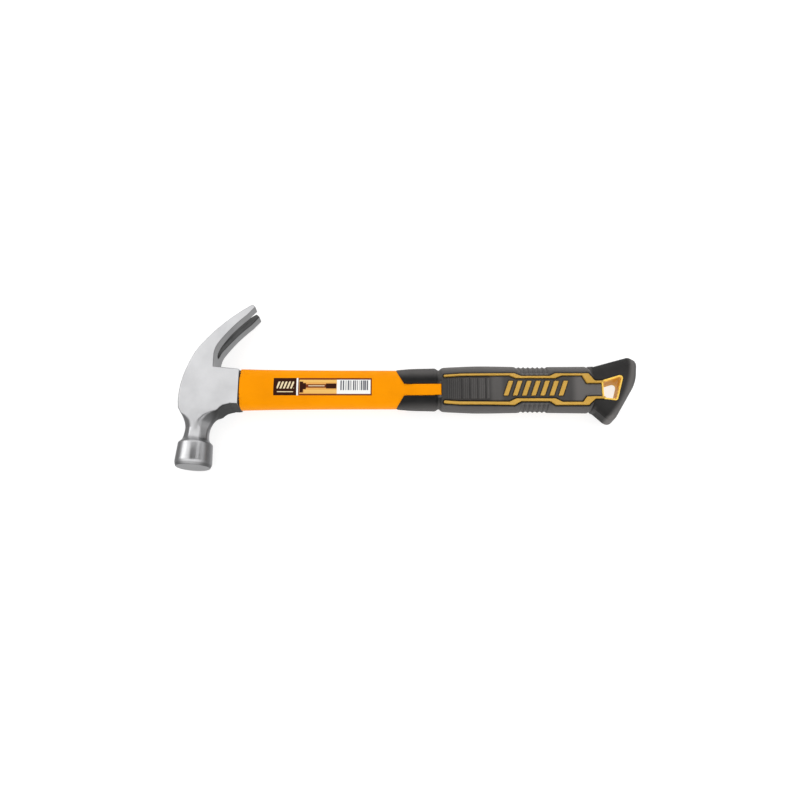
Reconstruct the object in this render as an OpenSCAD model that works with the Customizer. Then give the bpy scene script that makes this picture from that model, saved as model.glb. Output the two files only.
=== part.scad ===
// Claw hammer with a fibreglass core, a moulded plastic jacket and a soft
// rubber grip. The hammer lies on its side: +X runs from the head to the butt,
// +Y points to the claw, -Y to the striking face and +Z is up. The outlines are
// drawn in a local frame whose x starts at the top end of the head and whose
// y and z are 0 on the handle axis.

/* [Overall] */
// Length from the top end of the head to the end of the butt
overall_l = 330; // [326:1:334]
// Width across the claw tips, the thickest place of the hammer
claw_w = 29; // [27:0.5:31]
// Thickness of the butt, as wide as the claw so that the hammer lies level
butt_w = 29; // [27:0.5:31]

/* [Striking end] */
// Diameter of the bell just behind the chamfer of the striking face
bell_d = 26.4; // [24:0.1:27.8]
// Diameter of the bell at its shoulder, next to the neck
bell_shoulder_d = 24.8; // [22:0.1:26]
// Diameter of the flat striking face inside its chamfer
face_d = 22.8; // [20:0.1:24]
// Distance from the handle axis to the striking face, along the poll
face_reach = 57.6; // [54:0.1:60]
// Height of the chamfer round the striking face
face_chamfer = 3; // [1:0.1:4]
// Length of the bell between its shoulder and the chamfer
bell_l = 12; // [9:0.1:14]
// Width across the flats of the octagonal neck
neck_w = 16.2; // [14:0.1:17]
// How far the poll leans away from the handle, in degrees
poll_lean = 2.5; // [0:0.5:4]

/* [Cheeks and claw] */
// Thickness of the cheeks and of the eye boss
cheek_w = 25; // [24:0.5:26]
// End of the eye boss, where the handle enters
boss_x = 44; // [42:0.5:46]
// Height of the eye boss above the handle axis, at the claw root
boss_top = 14; // [13:0.5:15]
// Depth of the eye boss below the handle axis
boss_bottom = 13.6; // [13:0.1:14.5]
// Height of the claw tips above the handle axis
claw_tip_y = 61; // [60.5:0.1:61.5]
// Width of the nail slot at the claw tips
slot_w = 7.6; // [5:0.1:9]
// Width of the nail slot at its closed end
slot_root_w = 3.4; // [2:0.1:4]
// Length of the nail slot along the claw
slot_l = 44; // [36:1:46]

/* [Eye and handle core] */
// Height of the eye through the head
eye_h = 22; // [21:0.1:23]
// Width of the eye through the head
eye_w = 15.6; // [14.5:0.1:17]
// Height of the fibreglass core
core_h = 19; // [16:0.1:20]
// Width of the fibreglass core
core_w = 12.6; // [10:0.1:13.5]
// Where the fibreglass core ends inside the grip
core_end_x = 286; // [260:1:290]
// Thickness of the sealing ring between the head and the jacket
seal_t = 1.4; // [1:0.1:2]

/* [Jacket] */
// Height of the jacket next to the head
jacket_h = 29; // [27:0.1:29.5]
// Height of the jacket where the grip begins
jacket_waist_h = 27.8; // [26:0.1:28.5]
// Width of the jacket
jacket_w = 22.4; // [21:0.1:24]
// Width of the raised frame lines
line_w = 1.5; // [1:0.1:2.5]
// How far the raised lines and bars stand proud of the grip
line_proud = 0.35; // [0.1:0.05:0.6]
// Sideways offset of the moulded pattern from the handle axis
pattern_y = -2.35; // [-3:0.05:0]
// Height of the raised slanted bars
bar_h = 10.6; // [8:0.1:12]
// Number of raised slanted bars
bar_count = 7; // [3:1:8]

/* [Grip] */
// Where the two prongs of the grip's collar begin
fork_x = 156.5; // [152:0.5:160]
// Where the collar ends and the main grip begins
collar_x = 186.5; // [184:0.5:190]
// Height of the main grip
grip_h = 34; // [33:0.5:35]
// Width of the main grip
grip_w = 26; // [25:0.5:27]
// Thickness of the tongue between the jacket and the lining of the hanging hole
tongue_t = 10.2; // [8:0.2:14]

/* [Label] */
// Length of the label
label_l = 70; // [60:1:80]
// Height of the label
label_h = 12.8; // [10:0.2:15]
// Distance of the label from the top end of the head
label_x = 69; // [60:1:75]
// Thickness of the label film
label_t = 0.25; // [0.2:0.05:0.4]

/* [Hidden] */

$fn = 64;
RING = 44;          // points round a lofted section
SQUARENESS = 2.5;   // exponent of the rounded sections, where 2 is an ellipse
THROUGH = 80;       // long enough to cut through anything
// Where the poll axis crosses the handle axis: the bell's rim is the top end
poll_x = (face_reach - face_chamfer) * sin(poll_lean) + bell_d / 2 * cos(poll_lean);
low_y = -face_reach * cos(poll_lean) - face_d / 2 * sin(poll_lean);
mid_y = (claw_tip_y + low_y) / 2;

// Arcs of the head's side outline: centre, radius, first and last angle
BACK_LOW = [[67.5, -10.5], 65.6, 183, 142.5];
BACK_HIGH_C = [120.4, -53.2];
BACK_HIGH_R = 133.4;
BACK_HIGH = [BACK_HIGH_C, BACK_HIGH_R, 141, 180 - asin((claw_tip_y - BACK_HIGH_C.y) / BACK_HIGH_R)];
UNDER_LONG = [[119, -31.2], 110, 130.2, 145.4];
UNDER_ROOT = [[42.9, 21.4], 17.5, 145.4, 180];
CLAW_TIP = [52.9, 59.4];
CHEEK_END_Y = -14;  // where the cheeks turn into the neck
NECK_Y = -30;       // narrowest place of the neck
neck_x = poll_x + NECK_Y * tan(poll_lean);
NECK_LEFT = [[neck_x - neck_w / 2 - 25, NECK_Y], 25, 40, 0];
NECK_RIGHT = [[neck_x + neck_w / 2 + 14.6, NECK_Y + 0.4], 14.6, 180, 92];
FLARE_R = 30;       // radius of the flare between the cheeks and the neck
CORNER_FLARE_R = 15; // the same on the chamfered corners of the neck
CONE_L = 5.5;       // length of the cone between the neck and the bell
CORE_START_X = 4.5;
EPOXY_START_X = 5.5;
EYE_R = 5;          // corner radius of the eye
CORE_R = 4;         // corner radius of the core
SEAL_R = 9;         // corner radius of the sealing ring
SLOT_ROOT = [27.6, 27];
SLOT_TURN = 47;     // direction of the slot along the claw, in degrees
SLOT_DEEP = 30;     // the cut reaches this far towards the back of the claw
SLOT_SHALLOW = 12;  // and this far past its underside
LABEL_Y = -0.8;     // middle of the label

// Handle sections: place along x, height above and below the axis, half width
JACKET = [
  [boss_x + seal_t, jacket_h / 2 + 0.4, jacket_h / 2 + 0.4, jacket_w / 2 + 0.4],
  [boss_x + 20, jacket_h / 2, jacket_h / 2, jacket_w / 2],
  [110, jacket_h / 2 - 0.5, jacket_h / 2 - 0.5, jacket_w / 2 - 0.2],
  [fork_x, jacket_waist_h / 2, jacket_waist_h / 2, jacket_w / 2 - 0.4],
  [collar_x + 6, jacket_waist_h / 2, jacket_waist_h / 2, jacket_w / 2 - 0.4]
];
GRIP = [
  [fork_x, jacket_waist_h / 2 + 0.3, jacket_waist_h / 2 + 0.3, jacket_w / 2],
  [fork_x + 12, jacket_waist_h / 2 + 1.2, jacket_waist_h / 2 + 1.2, jacket_w / 2 + 0.6],
  [collar_x - 5, grip_h / 2 - 1.7, grip_h / 2 - 1.7, grip_w / 2 - 0.9],
  [collar_x + 10, grip_h / 2 - 0.7, grip_h / 2 - 0.7, grip_w / 2 - 0.3],
  [collar_x + 30, grip_h / 2, grip_h / 2, grip_w / 2],
  [252, grip_h / 2 - 0.5, grip_h / 2 - 0.5, grip_w / 2],
  [290, grip_h / 2 - 0.2, grip_h / 2, grip_w / 2 - 0.3]
];
RUBBER_T = 3;       // wall of the rubber over the jacket
LAST = len(GRIP) - 1;

// Outline of the flared butt, anticlockwise, with the radius of each corner
BUTT = [
  [284, -15.8, 1],
  [298, -16.8, 8],
  [305, -24.4, 4],
  [313.2, -24.2, 6],
  [overall_l - 1.3, 4, 30],
  [overall_l + 0.6, 19.4, 5],
  [324, 22.8, 3],
  [302, 16.6, 14],
  [284, 15.6, 1]
];
BUTT_CORE_T = 12;   // the butt's sides are upright over this thickness
BUTT_C = [306, -1]; // and above it they draw in towards this point
BUTT_DRAW = 0.84;
// Half thickness of the butt along x
BUTT_HALF_T = [
  [284, grip_w / 2 - 0.4], [300, grip_w / 2 - 0.8], [316, grip_w / 2], [323, butt_w / 2],
  [326.5, butt_w / 2], [329, butt_w / 2 - 1.5], [overall_l, butt_w / 2 - 5]
];
// Outline of the hanging hole, anticlockwise
HOLE = [[303.8, -9.2], [312.2, -10.3], [317.2, 6.6], [303.8, 2.4]];
HOLE_R = 1.2;       // corner radius of the hole
LINING_T = 1.2;     // wall of the jacket's lining round the hole
TONGUE = [[284, -8], [304, -8], [304, 2], [284, 6]];

// Frame line on the claw side of the pattern and its thick jogs, from the
// pattern's middle line; the other side mirrors them
FRAME_LINE = [
  [191, 9.35], [202, 10.1], [239, 10.4], [243.6, 8.2], [267.6, 8.2], [272, 10.4], [290, 10.4]
];
FRAME_JOGS = [
  [[238, 11.15], [240.6, 11.15], [245.4, 8.9], [244, 7.45], [241.6, 7.45], [236.4, 9.8]],
  [[265.6, 8.9], [270, 11.15], [272.6, 11.15], [274.6, 9.7], [269.4, 7.45], [266.6, 7.45]]
];
// Thick corners and thin tails that lead the frame to the hole
FRAME_CORNERS = [
  [[288.9, 7.3], [289.8, 8.8], [293.6, 8.8], [297.6, 3], [297.6, 1.5], [291.8, 1.5]],
  [[288.9, -12], [289.8, -13.5], [293.6, -13.5], [297.6, -10], [297.6, -8.5], [291.8, -8.5]]
];
FRAME_TAILS = [[[296, 2.25], [304, 2.5]], [[296, -9.25], [304, -9.3]]];
STRIPE_Y = -3;      // middle of the stripe between the collar's prongs
STRIPE_W = 8.2;
STRIPE_END_X = 188.6;
FORK_SLANT = 5.6;   // the prongs' tips lead the stripe by this much
BARS_X = [234.5, 280]; // the raised bars stand between these places
BAR_SLANT = 20;     // degrees
BAR_FILL = 0.5;     // share of the bars' pitch that is raised

function arc(a, n) =
  [for (i = [0:n]) let (t = a[2] + (a[3] - a[2]) * i / n) a[0] + a[1] * [cos(t), sin(t)]];
function unit_power(v, p) = sign(v) * pow(abs(v), p);
function section(s) =
  [for (i = [0:RING - 1]) let (a = 360 * i / RING)
    [s[0],
     (sin(a) > 0 ? s[1] : s[2]) * unit_power(sin(a), 2 / SQUARENESS),
     s[3] * unit_power(cos(a), 2 / SQUARENESS)]];
function grown(stations, by) = [for (s = stations) [s[0], s[1] + by, s[2] + by, s[3] + by]];

// Body through a list of handle sections
module loft(stations) {
  n = len(stations);
  points = [for (s = stations) each section(s)];
  sides = [for (i = [0:n - 2], j = [0:RING - 1])
    let (k = (j + 1) % RING)
    each [
      [i * RING + j, (i + 1) * RING + k, (i + 1) * RING + j],
      [i * RING + j, i * RING + k, (i + 1) * RING + k]
    ]];
  caps = [
    [for (j = [RING - 1:-1:0]) j],
    [for (j = [0:RING - 1]) (n - 1) * RING + j]
  ];
  polyhedron(points, concat(sides, caps), convexity = 6);
}

// Polygon with rounded corners, given as [x, y, radius]
module rounded_outline(corners) {
  n = len(corners);
  points = [for (c = corners) [c.x, c.y]];
  polygon([for (i = [0:n - 1])
    let (p = points[i],
         back = points[(i + n - 1) % n] - p,
         ahead = points[(i + 1) % n] - p,
         ub = back / norm(back),
         ua = ahead / norm(ahead),
         half = acos(ub * ua) / 2,
         cut = min(corners[i][2] / tan(half), norm(back) * 0.48, norm(ahead) * 0.48),
         start = p + ub * cut,
         end = p + ua * cut)
    for (t = [0:0.2:1]) start * pow(1 - t, 2) + p * 2 * t * (1 - t) + end * pow(t, 2)]);
}

// Strip of constant width along an open path, with square ends
module strip(path, width) {
  last = len(path) - 1;
  function heading(i) = let (d = path[i + 1] - path[i]) atan2(d.y, d.x);
  edge = [for (i = [0:last])
    let (before = heading(max(i - 1, 0)),
         after = heading(min(i, last - 1)),
         turn = (after - before) / 2,
         across = before + turn + 90)
    width / 2 / cos(turn) * [cos(across), sin(across)]];
  polygon(concat(path + edge, [for (i = [last:-1:0]) path[i] - edge[i]]));
}

// Extrusion upwards and downwards from the middle plane
module slab(thickness) {
  translate([0, 0, -thickness / 2]) linear_extrude(thickness) children();
}

// Bar along x with a rounded rectangular section
module rounded_bar(start_x, length, height, width, radius) {
  translate([start_x, 0, 0]) rotate([90, 0, 90]) linear_extrude(length) {
    square([height - 2 * radius, width], center = true);
    square([height, width - 2 * radius], center = true);
    for (sy = [-1, 1], sz = [-1, 1])
      translate([sy * (height / 2 - radius), sz * (width / 2 - radius)]) circle(radius);
  }
}

// From the local frame to the frame of the part, origin at the bottom centre
module placed() {
  translate([-overall_l / 2, -mid_y, claw_w / 2]) children();
}

// Side outline of the cheeks, the eye boss and the claw
module head_outline() {
  polygon(concat(
    [[2.4, CHEEK_END_Y - 1]],
    arc(BACK_LOW, 10),
    arc(BACK_HIGH, 8),
    [CLAW_TIP],
    arc(UNDER_LONG, 8),
    arc(UNDER_ROOT, 5),
    [[25.4, boss_top], [boss_x, boss_top - 2], [boss_x, -boss_bottom], [36, CHEEK_END_Y - 1]]
  ));
}

// Side outline of the flare between the cheeks and the neck
module neck_outline() {
  polygon(concat(
    [[1.6, CHEEK_END_Y + 1]],
    arc(NECK_LEFT, 8),
    arc(NECK_RIGHT, 8),
    [[36, CHEEK_END_Y + 1]]
  ));
}

// Flare profile of the neck: half width across it, from the cheeks downwards
module flare_profile(radius) {
  low = neck_w / 2;
  arc_side = [for (a = [80:-10:0]) [low + radius * (1 - cos(a)), NECK_Y + radius * sin(a)]];
  right = concat([[arc_side[0].x, 0]], arc_side);
  left = [for (i = [len(right) - 1:-1:0]) [-right[i].x, right[i].y]];
  polygon(concat(right, [[low, NECK_Y - 3], [-low, NECK_Y - 3]], left));
}

// Neck that spreads from an octagon into the square cheeks
module neck_flare() {
  intersection() {
    slab(cheek_w) neck_outline();
    translate([neck_x, 0, 0]) rotate([0, -90, 0])
      linear_extrude(THROUGH, center = true) flare_profile(FLARE_R);
    translate([neck_x, 0, 0]) rotate([0, -45, 0])
      linear_extrude(THROUGH, center = true) flare_profile(CORNER_FLARE_R);
    translate([neck_x, 0, 0]) rotate([0, 45, 0])
      linear_extrude(THROUGH, center = true) flare_profile(CORNER_FLARE_R);
  }
}

// Poll: octagonal neck, cone, bell and chamfered striking face
module poll() {
  bell_end = face_reach - face_chamfer;
  shoulder = bell_end - bell_l;
  across_corners = neck_w / cos(22.5);
  translate([poll_x, 0, 0]) rotate([90, 0, -poll_lean]) {
    translate([0, 0, bell_end]) cylinder(h = face_chamfer, d1 = bell_d, d2 = face_d);
    translate([0, 0, shoulder]) cylinder(h = bell_l, d1 = bell_shoulder_d, d2 = bell_d);
    translate([0, 0, shoulder - CONE_L]) cylinder(h = CONE_L, d1 = neck_w, d2 = bell_shoulder_d);
    translate([0, 0, -NECK_Y - 2]) rotate(22.5)
      cylinder(h = shoulder + NECK_Y, d = across_corners, $fn = 8);
  }
}

// The claw widens from the cheeks to its tips
module claw_plan() {
  cheek = cheek_w / 2;
  tip = claw_w / 2;
  rotate([90, 0, 90]) linear_extrude(THROUGH)
    polygon([
      [-20, -cheek], [20, -cheek], [46, -tip], [claw_tip_y + 1, -tip],
      [claw_tip_y + 1, tip], [46, tip], [20, cheek], [-20, cheek]
    ]);
}

// Nail slot: a tapered cut through the claw with a round closed end
module nail_slot() {
  translate(concat(SLOT_ROOT, 0)) rotate([90, 0, SLOT_TURN]) translate([0, 0, -SLOT_DEEP])
    linear_extrude(SLOT_DEEP + SLOT_SHALLOW) {
      circle(d = slot_root_w);
      polygon([
        [0, -slot_root_w / 2], [slot_l, -slot_w / 2], [slot_l, slot_w / 2], [0, slot_root_w / 2]
      ]);
    }
}

module core_bar() {
  rounded_bar(CORE_START_X, core_end_x - CORE_START_X, core_h, core_w, CORE_R);
}

// Outline of the hanging hole, or of the lining with its wall
module hole_outline(wall = 0) {
  offset(HOLE_R + wall) offset(delta = -HOLE_R) polygon(HOLE);
}

// Solid inside of the jacket under the rubber, with the lining of the hole
module jacket_inside() {
  loft(grown([for (i = [2:LAST]) GRIP[i]], -RUBBER_T));
  slab(tongue_t) polygon(TONGUE);
  intersection() {
    butt_solid();
    slab(THROUGH) hole_outline(LINING_T);
  }
}

// Moulded pattern that shows on both faces of the grip
module pattern() {
  translate([0, pattern_y, 0]) {
    for (side = [0, 1])
      mirror([0, side, 0]) {
        strip(FRAME_LINE, line_w);
        for (jog = FRAME_JOGS) polygon(jog);
      }
    bars();
  }
  for (corner = FRAME_CORNERS) polygon(corner);
  for (tail = FRAME_TAILS) strip(tail, line_w);
}

module bars() {
  pitch = (BARS_X[1] - BARS_X[0]) / bar_count;
  shift = bar_h / 2 * tan(BAR_SLANT);
  for (i = [0:bar_count - 1])
    translate([BARS_X[0] + i * pitch, 0])
      polygon([
        [-shift, -bar_h / 2], [pitch * BAR_FILL - shift, -bar_h / 2],
        [pitch * BAR_FILL + shift, bar_h / 2], [shift, bar_h / 2]
      ]);
}

// Stripe of the jacket between the two prongs of the grip's collar
module stripe() {
  translate([fork_x, STRIPE_Y - STRIPE_W / 2]) square([STRIPE_END_X - fork_x, STRIPE_W]);
}

// What the jacket shows through openings in the rubber
module jacket_raised() {
  intersection() {
    slab(THROUGH) pattern();
    union() {
      loft(grown([for (i = [2:LAST]) GRIP[i]], line_proud));
      butt_solid();
    }
  }
  intersection() {
    slab(THROUGH) stripe();
    loft(GRIP);
  }
}

module butt_solid() {
  intersection() {
    union() {
      slab(BUTT_CORE_T) rounded_outline(BUTT);
      for (side = [0, 1])
        mirror([0, 0, side]) translate(concat(BUTT_C, BUTT_CORE_T / 2))
          linear_extrude((butt_w - BUTT_CORE_T) / 2, scale = BUTT_DRAW)
            translate(-BUTT_C) rounded_outline(BUTT);
    }
    rotate([90, 0, 0]) linear_extrude(THROUGH, center = true)
      polygon(concat(BUTT_HALF_T, [for (i = [len(BUTT_HALF_T) - 1:-1:0])
        [BUTT_HALF_T[i].x, -BUTT_HALF_T[i].y]]));
  }
}

// Room in front of the collar: its prongs lead and the stripe stays free
module fork_room() {
  low = STRIPE_Y - STRIPE_W / 2;
  high = STRIPE_Y + STRIPE_W / 2;
  polygon([
    [fork_x - 1, -THROUGH / 2], [fork_x, -jacket_waist_h / 2], [fork_x + FORK_SLANT, low],
    [STRIPE_END_X, low], [STRIPE_END_X, high], [fork_x + FORK_SLANT, high],
    [fork_x, jacket_waist_h / 2], [fork_x - 1, THROUGH / 2]
  ]);
}

module head() {
  color([0.86, 0.86, 0.86]) placed()
    difference() {
      union() {
        intersection() {
          slab(claw_w) head_outline();
          claw_plan();
        }
        neck_flare();
        poll();
      }
      rounded_bar(-10, boss_x + 20, eye_h, eye_w, EYE_R);
      nail_slot();
    }
}

module fibreglass_core() {
  color([0.88, 0.83, 0.62]) placed() core_bar();
}

module eye_epoxy() {
  color([0.35, 0.25, 0.15]) placed()
    difference() {
      rounded_bar(EPOXY_START_X, boss_x - EPOXY_START_X, eye_h, eye_w, EYE_R);
      core_bar();
    }
}

module eye_seal() {
  color([0.12, 0.12, 0.12]) placed()
    difference() {
      rounded_bar(boss_x, seal_t, jacket_h - 1, jacket_w - 0.4, SEAL_R);
      core_bar();
    }
}

module handle_jacket() {
  color([0.98, 0.62, 0.06]) placed()
    difference() {
      union() {
        loft(JACKET);
        jacket_inside();
        jacket_raised();
      }
      core_bar();
      slab(THROUGH) hole_outline();
    }
}

module grip() {
  color([0.2, 0.2, 0.2]) placed()
    difference() {
      union() {
        loft(GRIP);
        butt_solid();
      }
      loft(JACKET);
      jacket_inside();
      slab(THROUGH) fork_room();
      slab(THROUGH) pattern();
    }
}

module label() {
  color([0.1, 0.09, 0.08]) placed()
    difference() {
      intersection() {
        loft(grown(JACKET, label_t));
        translate([label_x, LABEL_Y - label_h / 2, 0]) cube([label_l, label_h, THROUGH]);
      }
      loft(JACKET);
    }
}

head();
fibreglass_core();
eye_epoxy();
eye_seal();
handle_jacket();
grip();
label();
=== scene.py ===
"""Claw hammer lying on its side on a pale floor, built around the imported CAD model.

Shapes are worked out in millimetres in a local frame: x starts at the top end of the head and runs
along the handle, y points to the claw and z up, with y = z = 0 on the handle axis.
"""
import math

import bpy
import numpy as np
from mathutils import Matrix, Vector


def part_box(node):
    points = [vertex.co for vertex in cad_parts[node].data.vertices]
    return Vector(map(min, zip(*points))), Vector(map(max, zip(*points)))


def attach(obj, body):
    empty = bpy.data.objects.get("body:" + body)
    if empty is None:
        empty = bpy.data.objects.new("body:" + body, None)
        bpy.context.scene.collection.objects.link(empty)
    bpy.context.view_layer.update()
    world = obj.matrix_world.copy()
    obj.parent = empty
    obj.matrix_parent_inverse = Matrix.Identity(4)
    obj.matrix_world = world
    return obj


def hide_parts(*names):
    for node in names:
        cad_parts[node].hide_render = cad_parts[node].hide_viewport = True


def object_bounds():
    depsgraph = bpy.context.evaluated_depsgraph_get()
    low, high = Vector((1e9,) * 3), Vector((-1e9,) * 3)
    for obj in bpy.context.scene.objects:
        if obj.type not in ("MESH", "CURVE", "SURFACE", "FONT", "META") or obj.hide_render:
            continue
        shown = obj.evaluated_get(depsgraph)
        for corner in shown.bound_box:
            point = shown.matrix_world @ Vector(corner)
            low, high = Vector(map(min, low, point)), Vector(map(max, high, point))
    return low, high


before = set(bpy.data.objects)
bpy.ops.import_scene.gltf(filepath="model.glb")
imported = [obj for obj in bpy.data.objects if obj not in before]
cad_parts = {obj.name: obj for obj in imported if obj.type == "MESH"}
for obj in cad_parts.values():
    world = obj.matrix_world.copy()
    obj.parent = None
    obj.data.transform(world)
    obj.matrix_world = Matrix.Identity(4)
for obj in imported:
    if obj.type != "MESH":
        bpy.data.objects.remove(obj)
CAD_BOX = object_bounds()

# ---------------------------------------------------------------- frame
MM = 0.001


def middle(node):
    """Middle of a CAD node's box, in metres."""
    low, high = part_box(node)
    return (low + high) / 2


ORIGIN = Vector((CAD_BOX[0][0], middle("fibreglass_core").y, middle("fibreglass_core").z))


def local_box(node):
    """A CAD node's lowest and highest corners in the local frame, in millimetres."""
    return [(np.array(corner) - np.array(ORIGIN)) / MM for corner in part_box(node)]


HEAD_LO, HEAD_HI = local_box("head")
JACKET_LO = local_box("handle_jacket")[0]
GRIP_LO, GRIP_HI = local_box("grip")
SEAL_LO, SEAL_HI = local_box("eye_seal")
CORE_LO, CORE_HI = local_box("fibreglass_core")
EPOXY_LO, EPOXY_HI = local_box("eye_epoxy")
LABEL_LO, LABEL_HI = local_box("label")


# ---------------------------------------------------------------- fields
def step_up(v, low, high):
    """0 below low, 1 above high, smooth between."""
    t = np.clip((v - low) / (high - low), 0, 1)
    return t * t * (3 - 2 * t)


def blend_min(a, b, k):
    """The lower of a and b, with a smooth join k wide."""
    h = np.clip(0.5 + 0.5 * (b - a) / k, 0, 1)
    return b + (a - b) * h - k * h * (1 - h)


def blend_max(a, b, k):
    """The higher of a and b, with a smooth join k wide."""
    return -blend_min(-a, -b, k)


def round_and(a, b, r):
    """Both a and b, with edges rounded to radius r."""
    return np.minimum(np.maximum(a, b), -r) + np.hypot(np.maximum(a + r, 0), np.maximum(b + r, 0))


def arc(centre, radius, start, end, count):
    """Points of an arc, angles in degrees."""
    turn = np.radians(np.linspace(start, end, count + 1))
    return np.stack([centre[0] + radius * np.cos(turn), centre[1] + radius * np.sin(turn)], 1)


def rounded_outline(corners):
    """Outline from (x, y, radius) corners, each cut by a smooth curve."""
    pts = np.array([c[:2] for c in corners], float)
    out = []
    for i, (_, _, radius) in enumerate(corners):
        p = pts[i]
        back, ahead = pts[i - 1] - p, pts[(i + 1) % len(pts)] - p
        lb, la = np.hypot(*back), np.hypot(*ahead)
        half = math.acos(np.clip(np.dot(back / lb, ahead / la), -1, 1)) / 2
        cut = min(radius / math.tan(half), lb * 0.48, la * 0.48)
        a, b = p + back / lb * cut, p + ahead / la * cut
        for t in np.linspace(0, 1, 13):
            out.append(a * (1 - t) ** 2 + p * 2 * t * (1 - t) + b * t * t)
    return np.array(out)


def outline_distance(x, y, outline):
    """Signed distance in the xy plane to a closed outline, negative inside."""
    x, y = np.broadcast_arrays(x, y)
    best = np.full(x.shape, 1e9)
    inside = np.zeros(x.shape, bool)
    for a, b in zip(outline, np.roll(outline, -1, 0)):
        run = b - a
        length2 = run @ run
        if length2 < 1e-12:
            continue
        wx, wy = x - a[0], y - a[1]
        t = np.clip((wx * run[0] + wy * run[1]) / length2, 0, 1)
        best = np.minimum(best, (wx - run[0] * t) ** 2 + (wy - run[1] * t) ** 2)
        crosses = (a[1] > y) != (b[1] > y)
        side = wx * run[1] - wy * run[0]
        inside ^= crosses & ((side < 0) == (run[1] > 0))
    best = np.sqrt(best)
    return np.where(inside, -best, best)


def curve_through(points):
    """Smooth function of x through (x, value) points, without overshoot."""
    xs, ys = np.array(points, float).T
    widths = np.diff(xs)
    rise = np.diff(ys) / widths
    slope = np.zeros(len(xs))
    slope[0], slope[-1] = rise[0], rise[-1]
    same = rise[:-1] * rise[1:] > 0
    slope[1:-1][same] = 2 * rise[:-1][same] * rise[1:][same] / (rise[:-1] + rise[1:])[same]

    def value(x):
        x = np.clip(x, xs[0], xs[-1])
        i = np.clip(np.searchsorted(xs, x, side="right") - 1, 0, len(widths) - 1)
        w = widths[i]
        t = (x - xs[i]) / w
        a = 2 * t ** 3 - 3 * t ** 2 + 1
        b = t ** 3 - 2 * t ** 2 + t
        return (ys[i] * a + ys[i + 1] * (1 - a)
                + w * (slope[i] * b + slope[i + 1] * (t ** 3 - t ** 2)))

    return value


# ---------------------------------------------------------------- head
BOSS_X = SEAL_LO[0]
CLAW_TOP = HEAD_HI[1]
CLAW_HALF = HEAD_HI[2]
POLL_LEAN = math.radians(2.5)
LEAN_SHIFT = math.tan(POLL_LEAN)
NECK_HALF = 8.1
BELL_SHOULDER_R = 12.4
BELL_R = 13.2
FACE_R = 11.9
FACE_REACH = 57.6
CHAMFER = 3.0
CROWN = 0.25
POLL_ROOT = 27.0
CHEEK_HALF = 12.5
BOSS_END_HALF = 11.9
POLL_X = (FACE_REACH - CHAMFER) * math.sin(POLL_LEAN) + BELL_R * math.cos(POLL_LEAN)
NECK_Y = -30.0
NECK_X = POLL_X + NECK_Y * LEAN_SHIFT
NECK_END_Y = NECK_Y - 10
EYE_HALF_Y = (EPOXY_HI[1] - EPOXY_LO[1]) / 2
EYE_HALF_Z = (EPOXY_HI[2] - EPOXY_LO[2]) / 2
EYE_R = 5.0
SLOT_ROOT = (27.6, 27.0)
SLOT_TURN = math.radians(47)
UNDER_C, UNDER_R = (119.0, -31.2), 110.0
BACK_HIGH_C, BACK_HIGH_R = (120.4, -53.2), 133.4
TIP_ANGLE = 180 - math.degrees(math.asin((CLAW_TOP - BACK_HIGH_C[1]) / BACK_HIGH_R))

# claw, cheeks and boss from the side, anticlockwise from the back of the cheeks
HEAD_OUTLINE = np.concatenate([
    arc((67.5, -10.5), 65.6, 185.4, 142.5, 22),
    arc(BACK_HIGH_C, BACK_HIGH_R, 141, TIP_ANGLE, 16),
    [[HEAD_HI[0] + 0.8, CLAW_TOP - 1.7]],
    arc(UNDER_C, UNDER_R, 130.2, 145.4, 14),
    arc((42.9, 21.4), 17.5, 145.4, 180, 10),
    [[25.4, 14.2], [BOSS_X, 12.2], [BOSS_X, -13.6], [36, -13.6]],
])
# x of the neck's handle side at each y, and how it runs out under the boss
neck_side = curve_through([(-40, 22.1), (-34, 22.8), (-30, 23.6), (-26.4, 25.1), (-22.4, 27.3), (-18.9, 29.6),
                           (-16.4, 31.8), (-14.9, 34.3), (-14, 38)])
neck_y = np.linspace(NECK_END_Y, -14, 53)
NECK_OUTLINE = np.concatenate([
    [[6, -12]],
    arc((NECK_X - NECK_HALF - 25, NECK_Y), 25, 32, 0, 16),
    [[NECK_X - NECK_HALF - 10 * LEAN_SHIFT, NECK_END_Y]],
    np.stack([neck_side(neck_y), neck_y], 1),
    [[41, -12]],
])
# half widths across z at each y: the neck, its bevelled corners, and the cheeks and claw
neck_half = curve_through([(-40, 8), (-36, 8.1), (-32, 8.4), (-28, 8.9), (-22, 10), (-16, 11.5), (-12, 12.2),
                           (-6, CHEEK_HALF), (0, CHEEK_HALF)])
corner_half = curve_through([(-40, 8.1), (-30, 8.1), (-26, 8.9), (-22.5, 11.4), (-20, 15), (-18, 20),
                             (-16, 29), (-12, 60), (70, 300)])
claw_half = curve_through([(-6, CHEEK_HALF), (12, CHEEK_HALF), (25, 13.8), (36, CLAW_HALF), (62, CLAW_HALF)])
# half width of the nail slot at each distance from its root
slot_half = curve_through([(-3, 1.9), (0, 2.0), (8, 3.2), (18, 3.9), (44, 4.2), (60, 4.3)])
SLOT_BEVEL = 1.1
# radius of the poll at each distance from the handle axis
poll_radius = curve_through([
    (0, 6), (26, 6), (30, 7.2), (34, NECK_HALF), (35.5, NECK_HALF + 0.4), (37.5, 9.3), (39, 10.5), (40, 11.7),
    (41, BELL_SHOULDER_R - 0.15), (43, BELL_SHOULDER_R), (54.6, BELL_R), (70, BELL_R + 1),
])


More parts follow.
